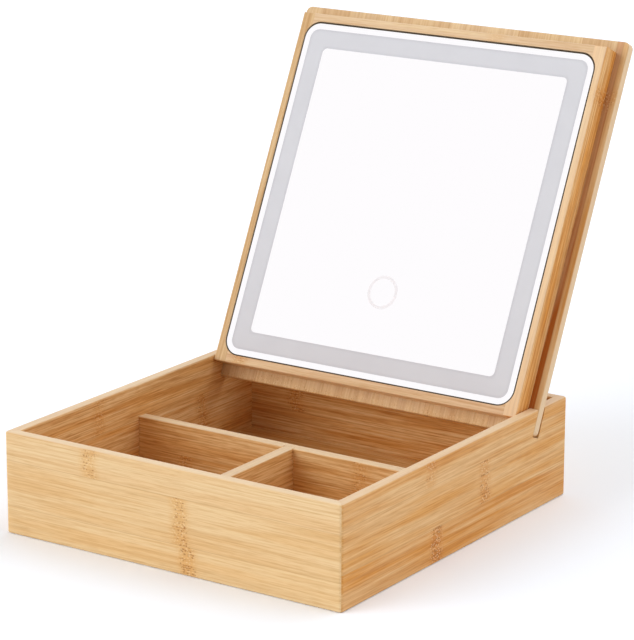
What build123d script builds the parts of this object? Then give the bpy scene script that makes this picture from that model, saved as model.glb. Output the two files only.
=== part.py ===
from build123d import *

import os
from math import cos, radians, sin, tan

# Bamboo vanity box with three open compartments and a lit mirror lid that stands in two slots.
# Millimetres, +Z up. The origin is the middle of the box's underside, +X is to the right of
# someone who looks into the mirror, and +Y points to the back of the box.

os.makedirs("parts", exist_ok=True)

# ---------------------------------------------------------------- box sizes
box_width = 220.0
box_depth = 230.0
box_height = 58.0
wall = 6.5  # thickness of the four boards
corner_radius = 2.0  # upright outer corners
rim_radius = 1.2  # easing of the rim, inside and outside
foot_chamfer = 0.6  # lower outer edge

floor_thickness = 4.0
floor_rabbet = 3.0  # how far the floor reaches under the boards
floor_play = 0.2  # room for the floor to swell in its rabbet

divider_thickness = 7.0
divider_drop = 19.0  # divider tops below the rim
divider_easing = 0.8
dado_depth = 2.0  # how far the divider ends go into the boards
dado_play = 0.1

# ---------------------------------------------------------------- lid sizes
lid_thickness = 6.0
lid_lean = 26.0  # degrees back from upright, as it stands in the slots
lid_engagement = 15.5  # length of lid below the rim, along the lid
lid_setback = 83.7  # front face of the lid behind the middle of the box, at rim level
lid_corner_radius = 3.5
lid_easing = 0.8

slot_lean = 24.0  # the slots are steeper than the lid, which tips back in them
slot_play = 0.15

frame_depth = 12.0
frame_member = 8.0  # width of stiles and rails
frame_play = 0.5  # between the frame and the boards when the lid is laid on the box
frame_easing = 0.7
stile_face = 4.5  # wood seen beside the mirror
rail_face = 5.0  # wood seen above and below the mirror
cavity_radius = 6.0  # routed corners behind the mirror

glass_thickness = 3.0
glass_corner_radius = 10.0
glass_recess = 0.5  # mirror face below the face of the frame
glass_play = 0.25
glass_bevel = 0.4
tape_thickness = 1.0
tape_width = 3.0

band_inset = 4.2  # lit band from the edge of the mirror
band_width = 11.2
diffuser_thickness = 1.5
diffuser_margin = 1.0  # the diffuser is this much wider than the band on its inner side
sheet_thickness = 0.5
sheet_play = 0.5

# ---------------------------------------------------------------- electric sizes
led_board_width = 8.0
led_board_thickness = 0.8
led_length = 3.5
led_width = 2.8
led_height = 0.8
leds_across = 8
leds_up = 9
led_pitch = 21.0

touch_drop = 50.0  # touch ring below the middle of the mirror
touch_radius = 10.0
touch_foil = 0.3

board_width = 32.0
board_height = 18.0
board_thickness = 1.2
chip_width = 5.0
chip_length = 6.2
chip_height = 1.6
plug_width = 7.5
plug_depth = 4.5
plug_height = 3.4

cell_diameter = 10.5
cell_length = 44.5
cell_nub_diameter = 3.8
cell_nub_length = 0.8
cell_count = 4
cell_gap = 0.6
cell_play = 0.1

tray_wall = 1.4
tray_rise = 8.0  # middle of the battery box above the middle of the lid
window_play = 0.3
flange_width = 68.0
flange_length = 62.0
flange_thickness = 1.6
flange_radius = 4.0
rib_width = 1.2
rib_height = 2.0
rib_length = 24.0

cover_tongue = 1.4  # thickness of the cover's edges, which run under the rails
cover_play = 0.15
rail_width = 4.0  # side rails and lower stop of the battery box
rail_groove = 1.6  # how far a groove reaches under its rail
rail_lip = 0.8
cover_ridges = 5
ridge_pitch = 2.4
ridge_height = 0.5
ridge_width = 1.0
ridge_length = 16.0

contact_sheet = 0.4
contact_height = 7.8
contact_width = 7.0
leaf_reach = 2.6
leaf_width = 5.0
tag_length = 3.0
tag_width = 1.8

screw_radius = 1.0
screw_head_radius = 2.0
screw_length = 5.0
screw_play = 0.05
screw_inset = 2.9  # screw axis from the side of the flange
screw_spacing = 40.0

wire_diameter = 1.2
wire_sides = 6
wire_spacing = 4.0
sensor_wire_diameter = 0.8

# ---------------------------------------------------------------- box, worked out
inner_width = box_width - 2 * wall
inner_depth = box_depth - 2 * wall
divider_top = box_height - divider_drop
front_face = inner_depth / 2
divider_face = divider_thickness / 2

# ---------------------------------------------------------------- lid, worked out
# The lid's own frame has its origin in the middle of the lid board's front face, u to the right,
# v up the lid and n out of the mirror.
lean = radians(lid_lean)
up_lid = Vector(0, sin(lean), cos(lean))
out_of_mirror = Vector(0, -cos(lean), sin(lean))
lid_middle = Vector(0, lid_setback, box_height) + up_lid * (box_depth / 2 - lid_engagement)
lid_plane = Plane(origin=lid_middle, x_dir=(1, 0, 0), z_dir=out_of_mirror)
lid_normal = Axis(lid_middle, out_of_mirror)

frame_width = inner_width - 2 * frame_play
frame_length = inner_depth - 2 * frame_play
cavity_width = frame_width - 2 * frame_member
cavity_length = frame_length - 2 * frame_member
glass_width = frame_width - 2 * stile_face
glass_length = frame_length - 2 * rail_face
glass_back = frame_depth - glass_recess - glass_thickness
ledge_height = glass_back - tape_thickness

# ---------------------------------------------------------------- slot profile, worked out
# Seen from the side, the lid board touches each slot at two places: its lower front corner and
# its rear face at the rim. p runs across the slot and q runs up it.
slope = radians(slot_lean)
lower_corner = (
    lid_setback - lid_engagement * sin(lean),
    box_height - lid_engagement * cos(lean),
)
rim_touch = (lid_setback + lid_thickness / cos(lean), box_height)
slot_front = lower_corner[0] * cos(slope) - lower_corner[1] * sin(slope) - slot_play
slot_rear = rim_touch[0] * cos(slope) - rim_touch[1] * sin(slope) + slot_play
slot_across = (slot_front + slot_rear) / 2
# Leaning more than the slot, the lid stands on its lower rear edge.
rear_drop = lid_thickness * sin(lean - slope)
slot_end = lower_corner[0] * sin(slope) + lower_corner[1] * cos(slope) - rear_drop - slot_play
slot_length = 2 * lid_engagement


def keep(builder, name):
    """Name a finished piece and write it."""
    builder.part.label = name
    export_step(builder.part, "parts/" + name + ".step")


# ================================================================ box
# The four boards are glued into a ring first. The rim is eased, and the slots for the lid are
# cut, once the ring is whole.
with BuildPart() as ring:
    with BuildSketch():
        RectangleRounded(box_width, box_depth, corner_radius)
        Rectangle(inner_width, inner_depth, mode=Mode.SUBTRACT)
    extrude(amount=box_height)
    fillet(ring.faces().sort_by(Axis.Z)[-1].edges(), radius=rim_radius)
    chamfer(ring.faces().sort_by(Axis.Z)[0].outer_wire().edges(), length=foot_chamfer)
    # rabbet for the floor, which is flush with the lower edges of the boards
    with BuildSketch():
        Rectangle(inner_width + 2 * floor_rabbet, inner_depth + 2 * floor_rabbet)
    extrude(amount=floor_thickness, mode=Mode.SUBTRACT)
    # housings for the ends of the long divider, in the side boards
    with BuildSketch():
        Rectangle(inner_width + 2 * dado_depth, divider_thickness + 2 * dado_play)
    extrude(amount=divider_top, mode=Mode.SUBTRACT)
    # housing for the short divider, in the front board
    with BuildSketch(Plane((0, -front_face - dado_depth, 0))):
        Rectangle(
            divider_thickness + 2 * dado_play,
            front_face,
            align=(Align.CENTER, Align.MIN),
        )
    extrude(amount=divider_top, mode=Mode.SUBTRACT)
    # slots for the lid, through both side boards
    with BuildSketch(Plane.YZ) as slot:
        with Locations((slot_across * cos(slope) + slot_end * sin(slope),
                        slot_end * cos(slope) - slot_across * sin(slope))):
            Rectangle(
                slot_rear - slot_front,
                slot_length,
                rotation=-slot_lean,
                align=(Align.CENTER, Align.MIN),
            )
        fillet(slot.vertices().sort_by(Axis.Y)[:2], radius=lid_easing + slot_play)
    extrude(amount=box_width, both=True, mode=Mode.SUBTRACT)


def mitred_board(name, outer_a, outer_b, inner_b, inner_a):
    """One board of the ring, between its two mitres."""
    with BuildPart() as board:
        add(ring)
        with BuildSketch():
            with BuildLine():
                Polyline(outer_a, outer_b, inner_b, inner_a, close=True)
            make_face()
        extrude(amount=box_height, mode=Mode.INTERSECT)
    keep(board, name)


half_w, half_d = box_width / 2, box_depth / 2
in_w, in_d = inner_width / 2, inner_depth / 2
mitred_board("front_board", (-half_w, -half_d), (half_w, -half_d), (in_w, -in_d), (-in_w, -in_d))
mitred_board("right_board", (half_w, -half_d), (half_w, half_d), (in_w, in_d), (in_w, -in_d))
mitred_board("rear_board", (half_w, half_d), (-half_w, half_d), (-in_w, in_d), (in_w, in_d))
mitred_board("left_board", (-half_w, half_d), (-half_w, -half_d), (-in_w, -in_d), (-in_w, in_d))

with BuildPart() as bottom_panel:
    with BuildSketch():
        Rectangle(
            inner_width + 2 * (floor_rabbet - floor_play),
            inner_depth + 2 * (floor_rabbet - floor_play),
        )
    extrude(amount=floor_thickness)
keep(bottom_panel, "bottom_panel")

with BuildPart() as long_divider:
    with BuildSketch(Plane.XY.offset(floor_thickness)):
        Rectangle(inner_width + 2 * (dado_depth - dado_play), divider_thickness)
    extrude(amount=divider_top - floor_thickness)
    top_edges = long_divider.faces().sort_by(Axis.Z)[-1].edges().filter_by(Axis.X)
    fillet(top_edges, radius=divider_easing)
    # housing for the short divider
    with BuildSketch(Plane((0, -divider_face, floor_thickness))):
        Rectangle(
            divider_thickness + 2 * dado_play,
            dado_depth,
            align=(Align.CENTER, Align.MIN),
        )
    extrude(amount=divider_top - floor_thickness, mode=Mode.SUBTRACT)
keep(long_divider, "long_divider")

with BuildPart() as short_divider:
    with BuildSketch(Plane((0, -front_face - dado_depth + dado_play, floor_thickness))):
        Rectangle(
            divider_thickness,
            front_face - divider_face + 2 * (dado_depth - dado_play),
            align=(Align.CENTER, Align.MIN),
        )
    extrude(amount=divider_top - floor_thickness)
    top_edges = short_divider.faces().sort_by(Axis.Z)[-1].edges().filter_by(Axis.Y)
    fillet(top_edges, radius=divider_easing)
keep(short_divider, "short_divider")

# ================================================================ battery box, worked out
# Its own frame lies in the back of the lid board, with v up the lid and z out of the back.
back_plane = Plane(
    origin=lid_middle + up_lid * tray_rise - out_of_mirror * lid_thickness,
    x_dir=(-1, 0, 0),
    z_dir=-out_of_mirror,
)
cell_pitch = cell_diameter + cell_gap
cell_axis = cell_diameter / 2 + 2 * cell_play  # below the back of the lid board
chamber_width = cell_count * cell_pitch
contact_stack = 2 * contact_sheet + leaf_reach
chamber_length = cell_length + contact_stack + 2 * cell_play
chamber_depth = cell_axis + cell_diameter / 2 + cell_play
tray_width = chamber_width + 2 * tray_wall
tray_length = chamber_length + 2 * tray_wall
tray_depth = chamber_depth + tray_wall
tag_depth = cell_axis + contact_height / 2  # deepest edge of the contacts and their tags
groove_height = cover_tongue + 2 * cover_play
rail_height = groove_height + rail_lip
rail_outer = flange_width / 2 - 2 * screw_inset
rail_inner = rail_outer - rail_width
groove_side = rail_inner + rail_groove
stop_top = rail_width - flange_length / 2  # upper side of the lower stop
screw_out = flange_width / 2 - screw_inset

# ================================================================ lid board and frame
with BuildPart() as lid_panel:
    with BuildSketch(lid_plane):
        RectangleRounded(box_width, box_depth, lid_corner_radius)
    extrude(amount=-lid_thickness)
    chamfer(lid_panel.faces().sort_by(lid_normal)[0].edges(), length=lid_easing)
    fillet(lid_panel.faces().sort_by(lid_normal)[-1].edges(), radius=lid_easing)
    # shallow seat for the flange of the battery box, and the window for its tray
    with BuildSketch(back_plane):
        RectangleRounded(
            flange_width + 2 * window_play, flange_length + 2 * window_play, flange_radius
        )
    extrude(amount=-flange_thickness, mode=Mode.SUBTRACT)
    with BuildSketch(back_plane):
        Rectangle(tray_width + 2 * window_play, tray_length + 2 * window_play)
    extrude(amount=-lid_thickness, mode=Mode.SUBTRACT)
    with BuildSketch(back_plane):
        with GridLocations(2 * screw_out, screw_spacing, 2, 2):
            Circle(screw_radius + screw_play)
    extrude(amount=-screw_length - screw_play, mode=Mode.SUBTRACT)
keep(lid_panel, "lid_panel")

# Stiles and rails are glued up first. The cavity and the ledge for the glass are then routed.
with BuildPart() as frame:
    with BuildSketch(lid_plane):
        Rectangle(frame_width, frame_length)
        RectangleRounded(cavity_width, cavity_length, cavity_radius, mode=Mode.SUBTRACT)
    extrude(amount=frame_depth)
    fillet(frame.faces().sort_by(lid_normal)[-1].outer_wire().edges(), radius=frame_easing)
    with BuildSketch(lid_plane.offset(ledge_height)):
        RectangleRounded(
            glass_width + 2 * glass_play,
            glass_length + 2 * glass_play,
            glass_corner_radius + glass_play,
        )
    extrude(amount=frame_depth - ledge_height, mode=Mode.SUBTRACT)


def frame_piece(name, u, v, width, length):
    """One stile or rail, cut from the glued frame at its butt joints."""
    with BuildPart() as piece:
        add(frame)
        with BuildSketch(lid_plane):
            with Locations((u, v)):
                Rectangle(width, length)
        extrude(amount=frame_depth, mode=Mode.INTERSECT)
    keep(piece, name)


stile_out = (frame_width - frame_member) / 2
rail_up = (frame_length / 2 + cavity_length / 2 - cavity_radius) / 2
rail_reach = frame_length / 2 - cavity_length / 2 + cavity_radius
frame_piece("left_stile", -stile_out, 0, frame_member, frame_length)
frame_piece("right_stile", stile_out, 0, frame_member, frame_length)
frame_piece("top_rail", 0, rail_up, cavity_width, rail_reach)
frame_piece("bottom_rail", 0, -rail_up, cavity_width, rail_reach)

# ================================================================ mirror and light
with BuildPart() as mirror_glass:
    with BuildSketch(lid_plane.offset(glass_back)):
        RectangleRounded(glass_width, glass_length, glass_corner_radius)
    extrude(amount=glass_thickness)
    chamfer(mirror_glass.faces().sort_by(lid_normal)[-1].edges(), length=glass_bevel)
keep(mirror_glass, "mirror_glass")

tape_outer = (frame_member - stile_face) - (frame_member - stile_face - tape_width) / 2
with BuildPart() as mirror_tape:
    with BuildSketch(lid_plane.offset(ledge_height)):
        RectangleRounded(
            cavity_width + 2 * tape_outer,
            cavity_length + 2 * tape_outer - 2 * (rail_face - stile_face),
            cavity_radius + tape_outer,
        )
        RectangleRounded(
            cavity_width + 2 * (tape_outer - tape_width),
            cavity_length + 2 * (tape_outer - tape_width),
            cavity_radius + tape_outer - tape_width,
            mode=Mode.SUBTRACT,
        )
    extrude(amount=tape_thickness)
keep(mirror_tape, "mirror_tape")

band_outer_width = glass_width - 2 * band_inset
band_outer_length = glass_length - 2 * band_inset
band_radius = glass_corner_radius - band_inset
diffuser_width = band_width + diffuser_margin
with BuildPart() as light_diffuser:
    with BuildSketch(lid_plane.offset(glass_back)):
        RectangleRounded(band_outer_width, band_outer_length, band_radius)
        Rectangle(
            band_outer_width - 2 * diffuser_width,
            band_outer_length - 2 * diffuser_width,
            mode=Mode.SUBTRACT,
        )
    extrude(amount=-diffuser_thickness)
keep(light_diffuser, "light_diffuser")

with BuildPart() as reflector_sheet:
    with BuildSketch(lid_plane):
        RectangleRounded(
            cavity_width - 2 * sheet_play, cavity_length - 2 * sheet_play, cavity_radius
        )
        with Locations((0, tray_rise)):
            Rectangle(
                tray_width + 2 * window_play, tray_length + 2 * window_play, mode=Mode.SUBTRACT
            )
    extrude(amount=sheet_thickness)
keep(reflector_sheet, "reflector_sheet")

# The light board is a ring under the middle of the band, with chips along its four sides.
ring_width = band_outer_width - band_width
ring_length = band_outer_length - band_width
with BuildPart() as led_board:
    with BuildSketch(lid_plane.offset(sheet_thickness)):
        RectangleRounded(
            ring_width + led_board_width, ring_length + led_board_width, led_board_width / 2
        )
        Rectangle(
            ring_width - led_board_width, ring_length - led_board_width, mode=Mode.SUBTRACT
        )
    extrude(amount=led_board_thickness)
keep(led_board, "led_board")

with BuildPart() as led_chips:
    with BuildSketch(lid_plane.offset(sheet_thickness + led_board_thickness)):
        with GridLocations(led_pitch, ring_length, leds_across, 2):
            Rectangle(led_length, led_width)
        with GridLocations(ring_width, led_pitch, 2, leds_up):
            Rectangle(led_width, led_length)
    extrude(amount=led_height)
keep(led_chips, "led_chips")

# ================================================================ touch switch and its board
with BuildPart() as touch_pad:
    with BuildSketch(lid_plane.offset(glass_back)):
        with Locations((0, -touch_drop)):
            Circle(touch_radius)
    extrude(amount=-touch_foil)
keep(touch_pad, "touch_pad")

board_face = sheet_thickness + board_thickness
with BuildPart() as control_board:
    with BuildSketch(lid_plane.offset(sheet_thickness)):
        with Locations((0, -touch_drop)):
            Rectangle(board_width, board_height)
    extrude(amount=board_thickness)
    # touch chip, power chip, and the socket of the battery wires
    with BuildSketch(lid_plane.offset(board_face)):
        with Locations((-board_width / 4, -touch_drop), (board_width / 8, -touch_drop)):
            Rectangle(chip_width, chip_length)
    extrude(amount=chip_height)
    with BuildSketch(lid_plane.offset(board_face)):
        with Locations((0, -touch_drop + board_height / 2 - plug_depth / 2)):
            Rectangle(plug_width, plug_depth)
    extrude(amount=plug_height)
keep(control_board, "control_board")

# ================================================================ battery box and cover
with BuildPart() as battery_box:
    # flange, let into the back of the lid board
    with BuildSketch(back_plane):
        RectangleRounded(flange_width, flange_length, flange_radius)
    extrude(amount=-flange_thickness)
    # tray
    with BuildSketch(back_plane):
        Rectangle(tray_width, tray_length)
    extrude(amount=-tray_depth)
    with BuildSketch(back_plane):
        Rectangle(chamber_width, chamber_length)
    extrude(amount=-chamber_depth, mode=Mode.SUBTRACT)
    # ribs that keep the cells apart
    with BuildSketch(back_plane.offset(-chamber_depth)):
        with GridLocations(cell_pitch, 1, cell_count - 1, 1):
            Rectangle(rib_width, rib_length)
    extrude(amount=rib_height)
    # side rails and lower stop, grooved on their inner side
    with BuildSketch(back_plane):
        Rectangle(2 * rail_outer, flange_length)
        with Locations((0, stop_top)):
            Rectangle(
                2 * rail_inner,
                flange_length,
                align=(Align.CENTER, Align.MIN),
                mode=Mode.SUBTRACT,
            )
    extrude(amount=rail_height)
    with BuildSketch(back_plane):
        with Locations((0, stop_top)):
            Rectangle(2 * groove_side, flange_length, align=(Align.CENTER, Align.MIN))
    extrude(amount=groove_height, mode=Mode.SUBTRACT)
    # screw holes, and a slit for the tag of each end contact
    with Locations(back_plane):
        with GridLocations(2 * screw_out, screw_spacing, 2, 2):
            CounterSinkHole(
                radius=screw_radius + screw_play,
                counter_sink_radius=screw_head_radius + screw_play,
                depth=flange_thickness,
            )
    with BuildSketch(back_plane.offset(-tag_depth - cell_play)):
        with Locations((0, -tray_length / 2)):
            with GridLocations((cell_count - 1) * cell_pitch, 1, 2, 1):
                Rectangle(contact_sheet + 2 * cell_play, 3 * tray_wall)
    extrude(amount=tag_width + 2 * cell_play, mode=Mode.SUBTRACT)
keep(battery_box, "battery_box")

cover_low = stop_top + cover_play
cover_length = flange_length / 2 - cover_low
with BuildPart() as battery_cover:
    with BuildSketch(back_plane.offset(cover_play)):
        with Locations((0, cover_low)):
            Rectangle(
                2 * (groove_side - cover_play), cover_length, align=(Align.CENTER, Align.MIN)
            )
    extrude(amount=cover_tongue)
    # raised middle, flush with the rails
    with BuildSketch(back_plane.offset(cover_play)):
        with Locations((0, cover_low)):
            Rectangle(
                2 * (rail_inner - cover_play), cover_length, align=(Align.CENTER, Align.MIN)
            )
    extrude(amount=rail_height - cover_play)
    # grip ridges for the thumb
    with BuildSketch(back_plane.offset(rail_height)):
        with Locations((0, cover_low + cover_length * 3 / 4)):
            with GridLocations(1, ridge_pitch, 1, cover_ridges):
                Rectangle(ridge_length, ridge_width)
    extrude(amount=ridge_height)
keep(battery_cover, "battery_cover")

with BuildPart() as box_screws:
    with BuildSketch(back_plane):
        with GridLocations(2 * screw_out, screw_spacing, 2, 2):
            Circle(screw_radius)
    extrude(amount=-screw_length)
    # countersunk heads
    with BuildSketch(back_plane):
        with GridLocations(2 * screw_out, screw_spacing, 2, 2):
            Circle(screw_head_radius)
    extrude(amount=screw_radius - screw_head_radius, taper=45)
keep(box_screws, "box_screws")

# ================================================================ cells and contacts
# The cells are in series, so every second one is turned round. turn is +1 where the nub is up.
flat_gap = contact_sheet + leaf_reach + cell_play
nub_gap = contact_sheet + cell_play
for number in range(cell_count):
    turn = 1 if number % 2 else -1
    across = (number - (cell_count - 1) / 2) * cell_pitch
    flat_end = -turn * (chamber_length / 2 - flat_gap)
    foot = back_plane.from_local_coords((across, flat_end, -cell_axis))
    with BuildPart() as cell:
        with BuildSketch(Plane(origin=foot, x_dir=(1, 0, 0), z_dir=up_lid * turn)):
            Circle(cell_diameter / 2)
        extrude(amount=cell_length - cell_nub_length)
        can_ends = cell.edges().filter_by(GeomType.CIRCLE)
        chamfer(can_ends, length=cell_nub_length / 2)
        with BuildSketch(Plane(origin=foot, x_dir=(1, 0, 0), z_dir=up_lid * turn)):
            Circle(cell_nub_diameter / 2)
        extrude(amount=cell_length)
    keep(cell, "aaa_cell_" + str(number + 1))


def contact(end, first, last, leaf_at=None, tagged=False):
    """Sheet-metal contact at one end of the chamber, from one cell to the next.

    end is +1 for the upper end. leaf_at is the cell whose flat end the bent leaf presses on. A
    tagged contact reaches out through the wall of the tray, where a wire is soldered to it.
    """
    left = (first - (cell_count - 1) / 2) * cell_pitch
    right = (last - (cell_count - 1) / 2) * cell_pitch
    face = end * chamber_length / 2
    with BuildPart() as piece:
        with BuildSketch(back_plane.offset(-cell_axis - contact_height / 2)):
            with Locations(((left + right) / 2, face - end * contact_sheet / 2)):
                Rectangle(right - left + contact_width, contact_sheet)
        extrude(amount=contact_height)
        if leaf_at is not None:
            across = (leaf_at - (cell_count - 1) / 2) * cell_pitch
            side = (across, face - end * contact_sheet, -cell_axis)
            bend = contact_height / 2
            leaf_plane = Plane(
                origin=back_plane.from_local_coords(side),
                x_dir=-up_lid * end,
                z_dir=(1, 0, 0),
            )
            with BuildSketch(leaf_plane):
                with BuildLine():
                    Polyline(
                        (0, -bend),
                        (leaf_reach, 0),
                        (leaf_reach / 3, bend * 2 / 3),
                        (leaf_reach / 3 - contact_sheet, bend * 2 / 3),
                        (leaf_reach - contact_sheet * 5 / 4, 0),
                        (0, -bend + contact_sheet * 2),
                        close=True,
                    )
                make_face()
            extrude(amount=leaf_width / 2, both=True)
        if tagged:
            with BuildSketch(back_plane.offset(-tag_depth)):
                with Locations((left, face)):
                    Rectangle(
                        contact_sheet, tray_wall + tag_length, align=(Align.CENTER, Align.MAX)
                    )
            extrude(amount=tag_width)
    return piece.part


last_cell = cell_count - 1
upper_pieces = [contact(1, cell, cell + 1, leaf_at=cell) for cell in range(0, cell_count, 2)]
lower_pieces = [contact(-1, cell, cell + 1, leaf_at=cell) for cell in range(1, last_cell, 2)]
lower_pieces.append(contact(-1, 0, 0, tagged=True))
lower_pieces.append(contact(-1, last_cell, last_cell, leaf_at=last_cell, tagged=True))

with BuildPart() as upper_contacts:
    add(upper_pieces)
keep(upper_contacts, "upper_contacts")

with BuildPart() as lower_contacts:
    add(lower_pieces)
keep(lower_contacts, "lower_contacts")

# ================================================================ wires inside the lid
# Their routes are in the lid's own frame. Each arc takes most of the shorter of its two runs.
arc_share = 0.45


def wire(points, diameter):
    """A soft wire along straight runs joined by tangent arcs."""
    corners = [Vector(point) for point in points]
    runs = [after - before for before, after in zip(corners, corners[1:])]
    radii = []
    for run, following in zip(runs, runs[1:]):
        turn = radians(run.get_angle(following))
        radii.append(arc_share * min(run.length, following.length) / tan(turn / 2))
    with BuildPart() as piece:
        with BuildLine() as route:
            FilletPolyline(*[lid_plane.from_local_coords(corner) for corner in corners], radius=radii)
        with BuildSketch(Plane(origin=route.line @ 0, z_dir=route.line % 0)):
            RegularPolygon(diameter / 2, wire_sides)
        sweep()
    return piece.part


tag_side = last_cell * cell_pitch / 2
tag_end = tray_rise - chamber_length / 2 - tray_wall - tag_length
tag_level = tag_depth - tag_width / 2 - lid_thickness
board_upper = board_height / 2 - touch_drop
bow = (tag_end - board_upper) / 3
battery_leads = [
    wire(
        [
            (side * tag_side, tag_end, tag_level),
            (side * tag_side, tag_end - bow, tag_level),
            (side * wire_spacing / 2, board_upper + bow, tag_level),
            (side * wire_spacing / 2, board_upper, tag_level),
        ],
        wire_diameter,
    )
    for side in (-1, 1)
]
with BuildPart() as battery_wires:
    add(battery_leads)
keep(battery_wires, "battery_wires")

board_lower = -board_height / 2 - touch_drop
ring_inside = (led_board_width - ring_length) / 2
sway = (board_lower - ring_inside) / 3
wire_rest = sheet_thickness + wire_diameter / 2 + cell_play
led_leads = [
    wire(
        [
            (side * wire_spacing / 2, board_lower, wire_rest),
            (side * wire_spacing / 2, board_lower - sway, wire_rest),
            (side * wire_spacing, ring_inside + sway, wire_rest),
            (side * wire_spacing, ring_inside, wire_rest),
        ],
        wire_diameter,
    )
    for side in (-1, 1)
]
with BuildPart() as led_wires:
    add(led_leads)
keep(led_wires, "led_wires")

pad_back = glass_back - touch_foil
rise = (pad_back - board_face) / 3
pad_joint = board_width / 8 + chip_width / 2 + sensor_wire_diameter
board_joint = board_width / 2 - 2 * sensor_wire_diameter
sensor_lead = wire(
    [
        (board_joint, -touch_drop, board_face),
        (board_joint, -touch_drop, board_face + rise),
        (pad_joint, -touch_drop, pad_back - rise),
        (pad_joint, -touch_drop, pad_back),
    ],
    sensor_wire_diameter,
)
with BuildPart() as sensor_wire:
    add(sensor_lead)
keep(sensor_wire, "sensor_wire")
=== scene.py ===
import math

import bmesh
import bpy
from mathutils import Matrix, Vector


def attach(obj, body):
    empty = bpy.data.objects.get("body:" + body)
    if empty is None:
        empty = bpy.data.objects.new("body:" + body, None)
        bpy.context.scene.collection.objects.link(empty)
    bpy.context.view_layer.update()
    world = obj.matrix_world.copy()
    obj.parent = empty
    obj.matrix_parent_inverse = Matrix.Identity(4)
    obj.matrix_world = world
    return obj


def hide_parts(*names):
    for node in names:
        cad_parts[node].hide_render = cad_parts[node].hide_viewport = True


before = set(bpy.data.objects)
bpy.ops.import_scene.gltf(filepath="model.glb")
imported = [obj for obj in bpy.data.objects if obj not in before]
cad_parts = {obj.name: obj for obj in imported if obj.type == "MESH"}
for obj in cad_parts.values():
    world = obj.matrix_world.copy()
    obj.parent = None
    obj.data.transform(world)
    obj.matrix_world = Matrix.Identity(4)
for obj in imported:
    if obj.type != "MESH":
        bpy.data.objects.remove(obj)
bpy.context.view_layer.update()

# ------------------------------------------------------------------ the four boards of the box
# Plain-pressed bamboo boards 6.5 mm thick, glued up from three wide strips, mitred at the
# corners, sanded and sprayed with a satin lacquer. The culm's nodes cross the strips as bands
# of brown and pale specks, each strip with its own.


def linear(code):
    """An sRGB hex colour as the linear RGBA that shaders take."""
    parts = [int(code[i:i + 2], 16) / 255 for i in (1, 3, 5)]
    return (*(c / 12.92 if c <= 0.04045 else ((c + 0.055) / 1.055) ** 2.4 for c in parts), 1.0)


def add(tree, kind, inputs, out=0, family="ShaderNode", **settings):
    """A new node with its settings, its inputs set to values or linked; returns one output."""
    made = tree.nodes.new(family + kind)
    for name, value in settings.items():
        setattr(made, name, value)
    for place, value in inputs.items():
        if isinstance(value, bpy.types.NodeSocket):
            tree.links.new(value, made.inputs[place])
        else:
            made.inputs[place].default_value = value
    return made.outputs[out]


def material(name, colour, values):
    """A new material with these plain values on its shader, its node tree and its shader."""
    made = bpy.data.materials.new(name)
    made.use_nodes = True
    shader = made.node_tree.nodes["Principled BSDF"]
    shader.inputs["Base Color"].default_value = linear(colour)
    for socket, value in values.items():
        shader.inputs[socket].default_value = value
    return made, made.node_tree, shader


def dress(node, finish):
    """Gives a CAD node its finished material."""
    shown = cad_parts[node]
    shown.data.materials.clear()
    shown.data.materials.append(finish)


PALE = "#F4DCB0"  # soft tissue between the fibre bundles
STREAK = "#D8B983"  # tint of a fibre bundle
CUT = "#EFD6B3"  # narrow faces, where the strips' edges show
AMBER = "#EFCB7C"  # tint of a node of the culm
SPECK = "#A6631A"  # bundles that turn outwards in a node
SEAM = "#B07A40"  # glue line between two strips


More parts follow.
